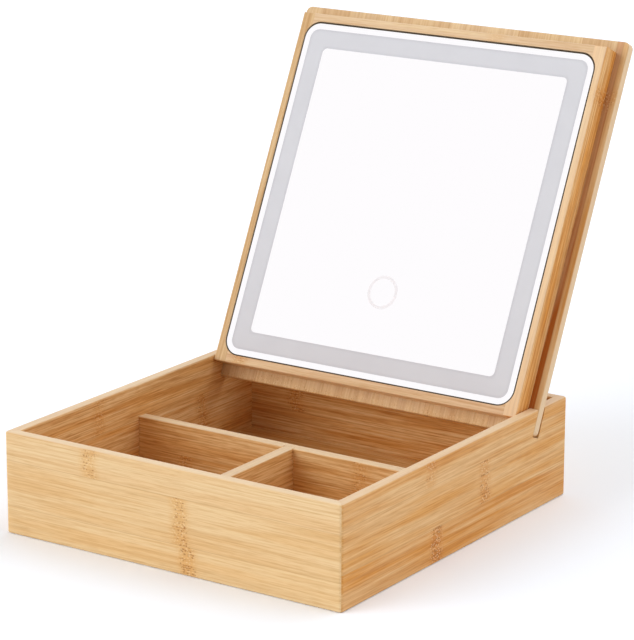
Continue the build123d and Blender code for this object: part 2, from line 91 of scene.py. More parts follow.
def bamboo(name, along, across, edges, tones, knots, centre=(0, 0, 0), seed=0.0, vivid=1.0):
    """Lacquered bamboo. Its fibres run along one direction and its strips lie side by side across
    another, between edges in mm from centre, each strip in its own tone. A knot is (mm along the
    grain, which strip, strength). vivid strengthens the fibres."""
    made, tree, shader = material(name, tones[0], {"Roughness": 0.42, "IOR": 1.5})
    depth = Vector(along).cross(Vector(across))
    turn = Matrix((along, across, depth)).transposed().to_euler()
    place = add(tree, "TexCoord", {}, out="Object")
    mm = add(tree, "Mapping", {0: place, 1: [c / 1000 for c in centre], 2: turn,
                               3: (0.001, 0.001, 0.001)}, vector_type="TEXTURE")
    along_mm = add(tree, "SeparateXYZ", {0: mm})
    across_mm = along_mm.node.outputs[1]

    # each strip is another piece of culm, so its figure starts elsewhere and its tone differs,
    # though some tones that callers give are painted shade
    strip = add(tree, "Value", {})
    strip.default_value = 0.0
    colour = linear(tones[0])
    for seam, tone in zip(edges[1:-1], tones[1:]):
        past = add(tree, "Math", {0: across_mm, 1: seam}, operation="GREATER_THAN")
        strip = add(tree, "Math", {0: strip, 1: past}, operation="ADD")
        colour = add(tree, "Mix", {0: past, 6: colour, 7: linear(tone)}, out=2, data_type="RGBA")
    moved = add(tree, "VectorMath", {0: strip, 1: (53.1, 17.3, 29.7), 2: mm},
                operation="MULTIPLY_ADD")
    moved = add(tree, "VectorMath", {0: moved, 1: (seed * 91, seed * 37, seed * 23)},
                operation="ADD")
    slow = add(tree, "VectorMath", {0: moved, 1: (1 / 110, 1 / 14, 1 / 14)}, operation="MULTIPLY")
    waver = add(tree, "TexNoise", {"Vector": slow, "Scale": 1.0, "Detail": 1.0}, out="Color")
    moved = add(tree, "VectorMath", {0: waver, 1: (0.0, 1.0, 1.0), 2: moved},
                operation="MULTIPLY_ADD")

    # broad figure, long fibre bundles, short dashes and fine hairs: length and width in mm
    grains = []
    for length, width, detail in ((110, 6.0, 2.0), (70, 1.0, 1.0), (16, 0.8, 1.0), (7, 0.36, 1.0)):
        vector = add(tree, "VectorMath", {0: moved, 1: (1 / length, 1 / width, 1 / width)},
                     operation="MULTIPLY")
        grains.append(add(tree, "TexNoise", {"Vector": vector, "Scale": 1.0, "Detail": detail}))
    figure, bundles, dashes, hairs = grains

    # nodes of the culm: a band of specks 10 to 15 mm long, across one strip, that sways by 3.5 mm
    # to either side
    sway = 7.0
    sideways = add(tree, "VectorMath", {0: moved, 1: (0.0, 1 / 7, 1 / 12)}, operation="MULTIPLY")
    swerve = add(tree, "TexNoise", {"Vector": sideways, "Scale": 1.0, "Detail": 1.0})
    swayed = add(tree, "Math", {0: swerve, 1: sway, 2: along_mm}, operation="MULTIPLY_ADD")
    band = core = lines = 0.0
    for at, which, strength in knots:
        away = add(tree, "Math", {0: swayed, 1: at + sway / 2}, operation="SUBTRACT")
        away = add(tree, "Math", {0: away}, operation="ABSOLUTE")
        above = add(tree, "Math", {0: across_mm, 1: edges[which]}, operation="GREATER_THAN")
        under = add(tree, "Math", {0: across_mm, 1: edges[which + 1]}, operation="LESS_THAN")
        within = add(tree, "Math", {0: above, 1: under}, operation="MULTIPLY")
        # its tint fades out 9 mm to either side, and its specks at 7.5 mm
        near = add(tree, "MapRange", {0: away, 1: 9.0, 2: 1.0, 3: 0.0, 4: strength},
                   interpolation_type="SMOOTHSTEP")
        band = add(tree, "Math", {0: near, 1: within, 2: band}, operation="MULTIPLY_ADD")
        near = add(tree, "MapRange", {0: away, 1: 7.5, 2: 3.0, 3: 0.0, 4: strength},
                   interpolation_type="SMOOTHSTEP")
        core = add(tree, "Math", {0: near, 1: within, 2: core}, operation="MULTIPLY_ADD")

    # the narrow faces along the board show the strips' edges, paler and without nodes
    facing = add(tree, "TexCoord", {}, out="Normal")
    edge = add(tree, "VectorMath", {0: facing, 1: across}, out="Value", operation="DOT_PRODUCT")
    edge = add(tree, "Math", {0: edge}, operation="ABSOLUTE")
    edge = add(tree, "MapRange", {0: edge, 1: 0.55, 2: 0.9, 3: 0.0, 4: 0.65})
    inner = add(tree, "Math", {0: 1.0, 1: edge}, operation="SUBTRACT")
    band = add(tree, "Math", {0: band, 1: inner}, operation="MULTIPLY")
    core = add(tree, "Math", {0: core, 1: inner}, operation="MULTIPLY")

    # specks and pale flecks about 1.5 mm apart, and the glue lines, 0.4 mm wide
    dots, pales = [add(tree, "TexVoronoi", {
        "Vector": add(tree, "VectorMath", {0: moved, 1: (0.6, 0.85, 0.85), 2: (shift,) * 3},
                      operation="MULTIPLY_ADD"), "Scale": 1.0}) for shift in (3.0, 61.0)]
    patchy = add(tree, "MapRange", {0: dashes, 1: 0.35, 2: 0.6, 3: 0.35, 4: 1.1})
    specks = add(tree, "Math", {0: core, 1: patchy}, operation="MULTIPLY")
    specks = add(tree, "Math", {0: specks, 1: 0.56}, operation="MULTIPLY")
    specks = add(tree, "Math", {0: specks, 1: dots}, operation="SUBTRACT")
    specks = add(tree, "MapRange", {0: specks, 1: 0.0, 2: 0.28, 3: 0.0, 4: 0.72})
    flecks = add(tree, "MapRange", {0: pales, 1: 0.42, 2: 0.2, 3: 0.0, 4: 0.55})
    for seam in edges[1:-1]:
        off = add(tree, "Math", {0: across_mm, 1: seam}, operation="SUBTRACT")
        off = add(tree, "Math", {0: off}, operation="ABSOLUTE")
        off = add(tree, "MapRange", {0: off, 1: 0.35, 2: 0.08, 3: 0.0, 4: 0.3})
        lines = add(tree, "Math", {0: lines, 1: off}, operation="MAXIMUM")

    # colour, laid on from the broad figure to the specks: how much, of what, and in which way
    for amount, shade, blend in (
            (add(tree, "MapRange", {0: figure, 1: 0.62, 2: 0.4, 3: 0.0, 4: 0.4}), PALE, "MIX"),
            (add(tree, "MapRange", {0: bundles, 1: 0.46, 2: 0.64, 3: 0.0, 4: 0.6 * vivid}),
             STREAK, "MULTIPLY"),
            (add(tree, "MapRange", {0: dashes, 1: 0.5, 2: 0.66, 3: 0.0, 4: 0.5 * vivid}),
             STREAK, "MULTIPLY"),
            (add(tree, "MapRange", {0: bundles, 1: 0.44, 2: 0.3, 3: 0.0, 4: 0.35 * vivid}),
             PALE, "MIX"),
            (add(tree, "MapRange", {0: hairs, 1: 0.5, 2: 0.7, 3: 0.0, 4: 0.4 * vivid}),
             STREAK, "MULTIPLY"),
            (edge, CUT, "MIX"),
            (add(tree, "Math", {0: band, 1: 0.5}, operation="MULTIPLY"), AMBER, "MULTIPLY"),
            (specks, SPECK, "MIX"),
            (add(tree, "Math", {0: flecks, 1: band}, operation="MULTIPLY"), PALE, "MIX"),
            (lines, SEAM, "MIX")):
        colour = add(tree, "Mix", {0: amount, 6: colour, 7: linear(shade)}, out=2,
                     data_type="RGBA", blend_type=blend)
    tree.links.new(colour, shader.inputs["Base Color"])

    # lacquer: satin, sunk a little into the softer fibre
    satin = add(tree, "MapRange", {0: dashes, 1: 0.3, 2: 0.7, 3: 0.36, 4: 0.5})
    tree.links.new(satin, shader.inputs["Roughness"])
    relief = add(tree, "Math", {0: hairs, 1: 0.6, 2: dashes}, operation="MULTIPLY_ADD")
    bump = add(tree, "Bump", {"Strength": 0.25, "Distance": 0.00006, "Height": relief})
    tree.links.new(bump, shader.inputs["Normal"])
    return made


X, Y, Z = (1, 0, 0), (0, 1, 0), (0, 0, 1)
dress("front_board", bamboo("bamboo_front", X, Z, (-1, 16, 42, 60),
      ("#EAC289", "#E7BF87", "#E9C490"), ((13, 0, 1.0), (8, 1, 0.9), (-51, 2, 0.8)),
      seed=1.0, vivid=0.45))
# the rear board's deep orange tones are painted shade of the inside of the box
dress("rear_board", bamboo("bamboo_rear", X, Z, (-1, 19, 39, 60),
      ("#D79D58", "#DCA664", "#DAA25F"), ((62, 0, 0.8), (-71, 1, 0.9), (44, 2, 0.8)), seed=2.0))
# the right board's tones are deeper and more orange than the front's as painted shade: this side
# is turned away from the key light
dress("right_board", bamboo("bamboo_right", Y, Z, (-1, 20, 44, 60),
      ("#DB9740", "#DFA253", "#DD9F50"), ((-24, 0, 1.2), (26, 1, 1.05), (-30, 2, 0.8)),
      seed=3.0, vivid=0.55))
# the left board's deep orange tones are painted shade of the inside of the box
dress("left_board", bamboo("bamboo_left", Y, Z, (-1, 15, 37, 60),
      ("#DAA25C", "#D99F59", "#DFAB6A"), ((-52, 0, 0.8), (58, 1, 0.9), (-40, 2, 0.7)), seed=4.0))

# ------------------------------------------------------------------ floor and dividers
# The floor is a thin bamboo sheet held in a rabbet, and the two dividers are bamboo slats that
# slide into dadoes. Both are the same stock as the boards.
dress("bottom_panel", bamboo("bamboo_floor", X, Y, (-112, -74, -38, 2, 41, 77, 112),
      ("#E2B173", "#DCA661", "#E1AE6E", "#DBA45F", "#E3B477", "#DDA865"),
      ((70, 1, 0.8), (-60, 2, 0.8), (35, 4, 0.8)), seed=5.0))
dress("long_divider", bamboo("bamboo_long_divider", X, Z, (3, 21, 40), ("#E5B474", "#E8BA7D"),
      ((-70, 0, 0.8), (48, 1, 0.7)), seed=6.0))
dress("short_divider", bamboo("bamboo_short_divider", Y, Z, (3, 21, 40), ("#E6B676", "#E7B87A"),
      ((-30, 0, 0.8), (-84, 1, 0.7)), seed=7.0))

# ------------------------------------------------------------------ the lid board and its frame
# The lid is a 6 mm board, its fibres running up the lid, that stands in the box's two slots and
# leans back by 26 degrees. A frame of two stiles and two rails is glued on its front.
lean = math.radians(26)
lid_middle = Vector((0, 127.318, 147.430))  # middle of the lid board's front face, mm
lid_up = Vector((0, math.sin(lean), math.cos(lean)))
lid_out = Vector((0, -math.cos(lean), math.sin(lean)))

# the strips from 102.5 to 106.5 mm (dark brown) and 106.5 to 111 mm (orange) are painted shadow of
# the right stile on the board's margin; they run the board's whole length on every face
dress("lid_panel", bamboo("bamboo_lid", lid_up, X,
      (-111, -79, -44, -9, 38, 59, 80, 102.5, 106.5, 111),
      ("#D3AF83", "#D9BA91", "#D4B186", "#DABB94", "#D4B084", "#D8B88C", "#D3AF83",
       "#B56012", "#CC9048"),
      ((-116, 0, 0.5), (-114, 1, 0.6), (95, 1, 0.3), (-117, 2, 0.7), (-115, 3, 0.5),
       (-116, 4, 0.7), (-115, 5, 0.5), (80, 7, 0.9), (82, 8, 0.8)),
      centre=lid_middle, seed=8.0, vivid=0.33))
dress("left_stile", bamboo("bamboo_left_stile", lid_up, X, (-104, -94), ("#D3AC7A",),
      ((44, 0, 0.4),), centre=lid_middle, seed=9.0, vivid=0.5))
# its ruddy tone shows on its sides, and on the side facing right it is painted shade; its front
# takes the pale colour of narrow faces
dress("right_stile", bamboo("bamboo_right_stile", lid_up, lid_out, (-1, 13), ("#EAA957",),
      ((80, 0, 0.9),), centre=lid_middle, seed=10.0))
dress("top_rail", bamboo("bamboo_top_rail", X, lid_up, (93, 109), ("#DEBC96",),
      ((30, 0, 0.4),), centre=lid_middle, seed=11.0, vivid=0.4))
dress("bottom_rail", bamboo("bamboo_bottom_rail", X, lid_up, (-109, -101, -93),
      ("#DCB48C", "#E0BC97"), ((-86, 0, 0.8), (-86, 1, 0.8)), centre=lid_middle, seed=12.0,
      vivid=0.5))

# ------------------------------------------------------------------ the mirror
# A 3 mm plate of silvered float glass with ground edges, sealed against damp by a dark lacquer,
# whose 0.7 mm strip round the face is painted shade of the gap in the frame.
# The silver is taken off and the glass frosted in a band where the light shines through, and
# in a small ring that marks the touch switch.
to_lid = Matrix((X, lid_up, lid_out)).transposed().to_4x4()
to_lid.translation = lid_middle
to_lid = Matrix.Scale(0.001, 4) @ to_lid


def piece(name, bm, finishes, body, slot_name, *nodes):
    """A finished object in the lid's own place, riding on its body and standing for CAD nodes."""
    bm.transform(to_lid)
    mesh = bpy.data.meshes.new(name)
    bm.to_mesh(mesh)
    bm.free()
    for finish in finishes:
        mesh.materials.append(finish)
    made = bpy.data.objects.new(name, mesh)
    bpy.context.scene.collection.objects.link(made)
    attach(made, body)
    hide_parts(*nodes)
    return made


def rounded(bm, half_width, half_height, radius, level, steps=12):
    """The corners of a rounded rectangle, once round."""
    points = []
    for quarter in range(4):
        middle = ((half_width - radius) * (1, -1, -1, 1)[quarter],
                  (half_height - radius) * (1, 1, -1, -1)[quarter])
        for step in range(steps + 1):
            angle = math.radians(90 * (quarter + step / steps))
            points.append(bm.verts.new((middle[0] + radius * math.cos(angle),
                                        middle[1] + radius * math.sin(angle), level)))
    return points


def bridge(bm, outer, inner, finish):
    """A strip of faces from one loop to the next."""
    for i in range(len(outer)):
        j = (i + 1) % len(outer)
        bm.faces.new((outer[i], outer[j], inner[j], inner[i])).material_index = finish


glass_half = (98.5, 103.0)
glass_back, glass_face = 8.5, 11.5
corner, arris = 10.0, 0.3
SILVER, FROST, RING, SEALANT_AND_SHADE = 0, 1, 2, 3
bm = bmesh.new()
band_edge_shade = bm.verts.layers.float.new("band_edge_shade")
back = rounded(bm, glass_half[0] - arris, glass_half[1] - arris, corner - arris, glass_back)
bm.faces.new(reversed(back)).material_index = SEALANT_AND_SHADE
last = back
# loops from the back round the ground edge to the inside of the frosted band: distance from the
# edge, corner radius, level, finish of the faces up to it, and how much painted shade the frost
# takes there; the dark sealant's 0.7 mm on the face is painted shade of the gap round the glass
for inset, radius, level, finish, edge_shade_amount in (
        (0.0, corner, glass_back + arris, SEALANT_AND_SHADE, 0.0), (0.0, corner, 11.1, SEALANT_AND_SHADE, 0.0),
        (0.7, 9.3, glass_face, SEALANT_AND_SHADE, 0.0), (4.2, 5.8, glass_face, SILVER, 1.0),
        (6.4, 4.8, glass_face, FROST, 0.0), (13.2, 3.8, glass_face, FROST, 0.0),
        (15.4, 3.0, glass_face, FROST, 1.0)):
    following = rounded(bm, glass_half[0] - inset, glass_half[1] - inset, radius, level)
    for vert in following:
        vert[band_edge_shade] = edge_shade_amount
    bridge(bm, last, following, finish)
    last = following
touch, outer_radius, inner_radius = (-1.1, -51.2), 9.9, 8.1
turns = [math.radians(degrees) for degrees in range(0, 360, 5)]
rings = [[bm.verts.new((touch[0] + radius * math.cos(turn), touch[1] + radius * math.sin(turn),
                        glass_face)) for turn in turns]
         for radius in (outer_radius, inner_radius)]
bridge(bm, rings[0], rings[1], RING)
bm.faces.new(rings[1]).material_index = SILVER
borders = [bm.edges.get((last[i - 1], last[i])) for i in range(len(last))]
borders += [bm.edges.get((rings[0][i - 1], rings[0][i])) for i in range(len(rings[0]))]
filled = bmesh.ops.triangle_fill(bm, edges=borders, use_beauty=True, normal=(0, 0, 1))
for part in filled["geom"]:
    if isinstance(part, bmesh.types.BMFace):
        part.material_index = SILVER
bmesh.ops.recalc_face_normals(bm, faces=bm.faces)
# the plate lies against the lower left of its recess, so its dark gap is wider above and right
slack = 0.15
bmesh.ops.translate(bm, verts=bm.verts, vec=(-slack, -slack, 0.0))

# silver behind clear glass, wiped clean: all but a perfect mirror, with the faintest film on it
silver, tree, shader = material("silvered_glass", "#FEFCFE", {"Metallic": 1.0})
film = add(tree, "TexNoise", {"Vector": add(tree, "TexCoord", {}, out="Object"), "Scale": 22.0,
                              "Detail": 4.0})
film = add(tree, "MapRange", {0: film, 1: 0.4, 2: 0.7, 3: 0.01, 4: 0.03})
tree.links.new(film, shader.inputs["Roughness"])


def etched(name, colour, shaded_edge_colour):
    """Blasted glass: pale, matt and faintly cloudy, darker towards the band's edges as painted
    shade.
    """
    made, tree, shader = material(name, colour, {"Roughness": 0.5, "Coat Weight": 0.3,
                                                 "Coat Roughness": 0.05})
    cloud = add(tree, "TexNoise", {"Vector": add(tree, "TexCoord", {}, out="Object"),
                                   "Scale": 60.0, "Detail": 3.0})
    near = add(tree, "Attribute", {}, out="Fac", attribute_name="band_edge_shade")
    near = add(tree, "MapRange", {0: near, 1: 0.0, 2: 1.0, 3: 0.0, 4: 0.35},
               interpolation_type="SMOOTHSTEP")
    cloud = add(tree, "Math", {0: cloud, 1: 0.3, 2: near}, operation="MULTIPLY_ADD")
    shade = add(tree, "Mix", {0: cloud, 6: linear(colour), 7: linear(shaded_edge_colour)}, out=2,
                data_type="RGBA")
    tree.links.new(shade, shader.inputs["Base Color"])
    return made


# the second tone darkens the band towards its edges: painted shade of the silver's edge seen
# through the glass
frost = etched("frosted_glass", "#D8D8DD", "#BEBDC4")
ring_frost = etched("thin_frosted_glass", "#F5F3F7", "#EFEDF1")
# brushed-on sealing lacquer over the ground edge and the back: dark brown, with a soft gloss; the
# 0.7 mm of it on the face is painted shade of the gap round the glass
sealant_and_gap_shade = material("glass_edge_sealant_and_gap_shade", "#463C32", {"Roughness": 0.35})[0]
piece("mirror_plate", bm, (silver, frost, ring_frost, sealant_and_gap_shade), "lid", "mirror_glass",
      "mirror_glass")

# ------------------------------------------------------------------ bed and light of the mirror
# The mirror lies on a ring of dark foam tape. Under its frosted band are a milky acrylic
# diffuser, a ring of circuit board with 34 light chips, and a white film on the lid board.


def wavering(name, colour, other, grain, values, relief=0.0, stretch=(1, 1, 1)):
    """A finish that wavers between two tones, with a relief, both of this grain in mm."""
    made, tree, shader = material(name, colour, values)
    place = add(tree, "VectorMath", {0: add(tree, "TexCoord", {}, out="Object"), 1: stretch},
                operation="DIVIDE")
    broad = add(tree, "TexNoise", {"Vector": place, "Scale": 80 / grain, "Detail": 3.0})
    fine = add(tree, "TexNoise", {"Vector": place, "Scale": 1000 / grain, "Detail": 1.0})
    blend = add(tree, "Math", {0: fine, 1: 0.6, 2: broad}, operation="MULTIPLY_ADD")
    blend = add(tree, "MapRange", {0: blend, 1: 0.6, 2: 1.0, 3: 0.0, 4: 1.0})
    shade = add(tree, "Mix", {0: blend, 6: linear(colour), 7: linear(other)}, out=2,
                data_type="RGBA")
    tree.links.new(shade, shader.inputs["Base Color"])
    rough = values["Roughness"]
    rough = add(tree, "MapRange", {0: broad, 1: 0.35, 2: 0.65, 3: rough * 0.85, 4: rough * 1.15})
    tree.links.new(rough, shader.inputs["Roughness"])
    bump = add(tree, "Bump", {"Strength": 0.8, "Distance": relief / 1000, "Height": fine})
    tree.links.new(bump, shader.inputs["Normal"])
    return made


# polyethylene foam, cut from a sheet: matt, its cut cells about half a millimetre wide
dress("mirror_tape", wavering("closed_cell_foam", "#2B2827", "#403B38", 0.5,
                              {"Roughness": 0.9}, relief=0.15))
# cast acrylic with white pigment: smooth, milky, light goes a little way in
dress("light_diffuser", wavering("opal_acrylic", "#EDEDEA", "#F4F4F1", 3.0,
                                 {"Roughness": 0.35, "IOR": 1.49, "Subsurface Weight": 0.2,
                                  "Subsurface Scale": 0.002}, relief=0.01))
# polyester film with white pigment, rolled on: matt, with slight ripples
dress("reflector_sheet", wavering("white_film", "#F2F2EF", "#E8E8E4", 4.0,
                                  {"Roughness": 0.55}, relief=0.05))


def solder_mask(name, long_way, part_level=None):
    """Glass-fibre board under white solder mask, through which its copper tracks show. What stands
    on it above part_level, in mm in front of the lid board, is black moulded epoxy."""
    made, tree, shader = material(name, "#E6EAE6", {"Roughness": 0.4, "Coat Weight": 0.2})
    place = add(tree, "TexCoord", {}, out="Object")
    side = add(tree, "VectorMath", {0: place, 1: X}, out="Value", operation="DOT_PRODUCT")
    up = add(tree, "VectorMath", {0: place, 1: lid_up}, out="Value", operation="DOT_PRODUCT")
    out = add(tree, "VectorMath", {0: place, 1: lid_out}, out="Value", operation="DOT_PRODUCT")
    flat = add(tree, "CombineXYZ", {0: side, 1: up})
    tracks = add(tree, "TexBrick", {"Vector": flat, "Color1": linear("#E6EAE6"),
                                    "Color2": linear("#DFE5E0"), "Mortar": linear("#C6D0C6"),
                                    "Scale": 1000.0, "Mortar Size": 0.25, "Mortar Smooth": 0.2,
                                    "Brick Width": long_way, "Row Height": 2.2})
    shade = tracks
    if part_level is not None:
        level = (lid_middle.dot(lid_out) + part_level) / 1000
        above = add(tree, "Math", {0: out, 1: level}, operation="GREATER_THAN")
        shade = add(tree, "Mix", {0: above, 6: tracks, 7: linear("#1F2022")}, out=2,
                    data_type="RGBA")
    tree.links.new(shade, shader.inputs["Base Color"])
    weave = add(tree, "TexNoise", {"Vector": place, "Scale": 1800.0})
    bump = add(tree, "Bump", {"Strength": 0.5, "Distance": 0.00002, "Height": weave})
    tree.links.new(bump, shader.inputs["Normal"])
    return made


dress("led_board", solder_mask("light_board", 10.5))


def grown(tree, points, values):
    """The mesh that a Geometry Nodes tree grows on these points, with its materials."""
    seeds = bpy.data.meshes.new(tree.name)
    seeds.from_pydata(points, [], [])
    holder = bpy.data.objects.new(tree.name, seeds)
    bpy.context.scene.collection.objects.link(holder)
    modifier = holder.modifiers.new("grow", "NODES")
    modifier.node_group = tree
    for socket in tree.interface.items_tree:
        if socket.in_out == "INPUT" and socket.name in values:
            modifier[socket.identifier] = values[socket.name]
    graph = bpy.context.evaluated_depsgraph_get()
    mesh = bpy.data.meshes.new_from_object(holder.evaluated_get(graph), depsgraph=graph)
    bpy.data.objects.remove(holder)
    bm = bmesh.new()
    bm.from_mesh(mesh)
    return bm, list(mesh.materials)


def grower(name, sizes, *finishes):
    """A new tree with these sizes and materials as inputs; returns it with its group input."""
    tree = bpy.data.node_groups.new(name, "GeometryNodeTree")
    tree.interface.new_socket("Points", in_out="INPUT", socket_type="NodeSocketGeometry")
    for size in sizes:
        tree.interface.new_socket(size, in_out="INPUT", socket_type="NodeSocketFloat")
    for finish in finishes:
        tree.interface.new_socket(finish, in_out="INPUT", socket_type="NodeSocketMaterial")
    tree.interface.new_socket("Mesh", in_out="OUTPUT", socket_type="NodeSocketGeometry")
    given = add(tree, "GroupInput", {}, family="Node").node
    return tree, given.outputs


# Each chip is a white package with a shallow round well of yellow phosphor.
tree, given = grower("light_chip", ("Length", "Width", "Height", "Well radius"), "Package",
                     "Phosphor")
GEO = {"family": "GeometryNode"}
well_depth = 0.08
shell_height = add(tree, "Math", {0: given["Height"], 1: well_depth}, operation="SUBTRACT")
shell = add(tree, "MeshCube", {"Size": add(tree, "CombineXYZ", {
    0: given["Length"], 1: given["Width"], 2: shell_height})}, **GEO)
shell = add(tree, "Transform", {0: shell, "Translation": add(tree, "CombineXYZ", {
    2: add(tree, "Math", {0: shell_height, 1: 0.5}, operation="MULTIPLY")})}, **GEO)
glow = add(tree, "MeshCylinder", {"Vertices": 16, "Radius": given["Well radius"],
                                  "Depth": well_depth}, **GEO)
glow = add(tree, "Transform", {0: glow, "Translation": add(tree, "CombineXYZ", {
    2: add(tree, "Math", {0: shell_height, 1: well_depth / 2}, operation="ADD")})}, **GEO)
glow = add(tree, "StoreNamedAttribute", {0: glow, "Name": "phosphor", "Value": True}, **GEO,
           data_type="BOOLEAN", domain="FACE")
chip = add(tree, "JoinGeometry", {0: shell}, **GEO)
tree.links.new(glow, chip.node.inputs[0])
chips = add(tree, "InstanceOnPoints", {"Points": given["Points"], "Instance": chip}, **GEO)
chips = add(tree, "RealizeInstances", {0: chips}, **GEO)
chips = add(tree, "SetMaterial", {0: chips, "Material": given["Package"]}, **GEO)
lit = add(tree, "InputNamedAttribute", {"Name": "phosphor"}, **GEO, data_type="BOOLEAN")
chips = add(tree, "SetMaterial", {0: chips, "Selection": lit, "Material": given["Phosphor"]},
            **GEO)
tree.links.new(chips, tree.nodes.new("NodeGroupOutput").inputs[0])

# moulded packages are matt white, and the silicone gel over the phosphor is yellow and shiny
package = wavering("white_chip_package", "#EEEDE8", "#E4E3DD", 0.8, {"Roughness": 0.45})
phosphor = wavering("phosphor_gel", "#E8D060", "#DDC24E", 0.4, {"Roughness": 0.3})
# middle line of the ring of board, the chips' spacing on it, and how many stand along each side
ring = (177.4, 186.4)
pitch, across, up = 21.0, 8, 9
board_face = 1.3
rows = [((i - (across - 1) / 2) * pitch, side * ring[1] / 2, board_face)
        for i in range(across) for side in (-1, 1)]
columns = [(side * ring[0] / 2, (i - (up - 1) / 2) * pitch, board_face)
           for i in range(up) for side in (-1, 1)]
looks = {"Height": 0.8, "Well radius": 1.1, "Package": package, "Phosphor": phosphor}
bm, finishes = grown(tree, rows, {"Length": 3.5, "Width": 2.8, **looks})
upright = grown(tree, columns, {"Length": 2.8, "Width": 3.5, **looks})[0]
upright_chips = bpy.data.meshes.new("upright_chips")
upright.to_mesh(upright_chips)
upright.free()
bm.from_mesh(upright_chips)
piece("light_chips", bm, finishes, "lid", "led_package", "led_chips")

# ------------------------------------------------------------------ touch switch
# A round copper foil behind the ring on the mirror, wired to a small board with a touch chip,
# a power chip and the socket of the battery wires.

# rolled copper foil: thin lines along the roll, half dulled
copper = wavering("copper_foil", "#D18C62", "#B9744C", 0.3, {"Metallic": 1.0, "Roughness": 0.32},
                  relief=0.01, stretch=(12, 1, 1))
dress("touch_pad", copper)
dress("control_board", solder_mask("control_board", 6.4, part_level=1.75))

# ------------------------------------------------------------------ battery box and its screws
# A tray of warm white ABS let into the lid board from behind, with a cover that slides up on
# two rails, and four countersunk screws. The mould was spark eroded, which leaves a matt grain.
# It is about 0.05 mm on the real part and drawn coarser here, so that it shows.
abs_grain = wavering("moulded_abs", "#E5DECE", "#DED6C4", 0.35, {"Roughness": 0.5, "IOR": 1.54},
                     relief=0.03)
dress("battery_box", abs_grain)
cover_grain = wavering("moulded_abs_cover", "#E7E0D1", "#E0D8C7", 0.35,
                       {"Roughness": 0.48, "IOR": 1.54}, relief=0.03)
dress("battery_cover", cover_grain)

# The head is a cone with a cross recess, and the shank tapers to under half its width.
tree, given = grower("countersunk_screw",
                     ("Head radius", "Shank radius", "Length", "Recess width"), "Plating")
head_height = add(tree, "Math", {0: given["Head radius"], 1: given["Shank radius"]},
                  operation="SUBTRACT")
head = add(tree, "MeshCone", {"Vertices": 32, "Radius Bottom": given["Head radius"],
                              "Radius Top": given["Shank radius"], "Depth": head_height}, **GEO)
shank_length = add(tree, "Math", {0: given["Length"], 1: head_height}, operation="SUBTRACT")
shank = add(tree, "MeshCone", {"Vertices": 32, "Side Segments": 6,
                               "Radius Bottom": given["Shank radius"],
                               "Radius Top": add(tree, "Math", {0: given["Shank radius"], 1: 0.45},
                                                 operation="MULTIPLY"),
                               "Depth": shank_length}, **GEO)
shank = add(tree, "Transform", {0: shank, "Translation": add(tree, "CombineXYZ", {
    2: head_height})}, **GEO)
bar_length = add(tree, "Math", {0: given["Head radius"], 1: 1.15}, operation="MULTIPLY")
bar = add(tree, "MeshCube", {"Size": add(tree, "CombineXYZ", {
    0: bar_length, 1: given["Recess width"], 2: head_height})}, **GEO)
cross = add(tree, "JoinGeometry", {0: bar}, **GEO)
turned = add(tree, "Transform", {0: bar, "Rotation": (0, 0, math.pi / 2)}, **GEO)
tree.links.new(turned, cross.node.inputs[0])
driven = add(tree, "MeshBoolean", {0: head, 1: cross}, **GEO, operation="DIFFERENCE")
screw = add(tree, "JoinGeometry", {0: driven}, **GEO)
tree.links.new(shank, screw.node.inputs[0])
angle = add(tree, "RandomValue", {"Min": (0, 0, 0), "Max": (0, 0, math.pi), "Seed": 5},
            family="FunctionNode", data_type="FLOAT_VECTOR")
screws = add(tree, "InstanceOnPoints", {"Points": given["Points"], "Instance": screw,
                                        "Rotation": angle}, **GEO)
screws = add(tree, "RealizeInstances", {0: screws}, **GEO)
screws = add(tree, "SetMaterial", {0: screws, "Material": given["Plating"]}, **GEO)
tree.links.new(screws, tree.nodes.new("NodeGroupOutput").inputs[0])

# zinc plated steel: bright, with a cloudy blue-grey bloom
zinc = wavering("zinc_plated_steel", "#CBCDD0", "#AEB2B8", 0.5,
                {"Metallic": 1.0, "Roughness": 0.28}, relief=0.005)
box_rise, screw_out, screw_up, back_level = 8.0, 31.1, 20.0, -6.0
bm, finishes = grown(tree, [(side * screw_out, box_rise + end * screw_up, back_level)
                            for side in (-1, 1) for end in (-1, 1)],
                     {"Head radius": 2.0, "Shank radius": 1.0, "Length": 5.0,
                      "Recess width": 0.5, "Plating": zinc})
piece("cover_screws", bm, finishes, "lid", "screw_steel", "box_screws")

# ------------------------------------------------------------------ cells and contacts
# Four AAA cells in plain printed jackets, every second one turned round, between contacts of
# nickel plated spring steel.


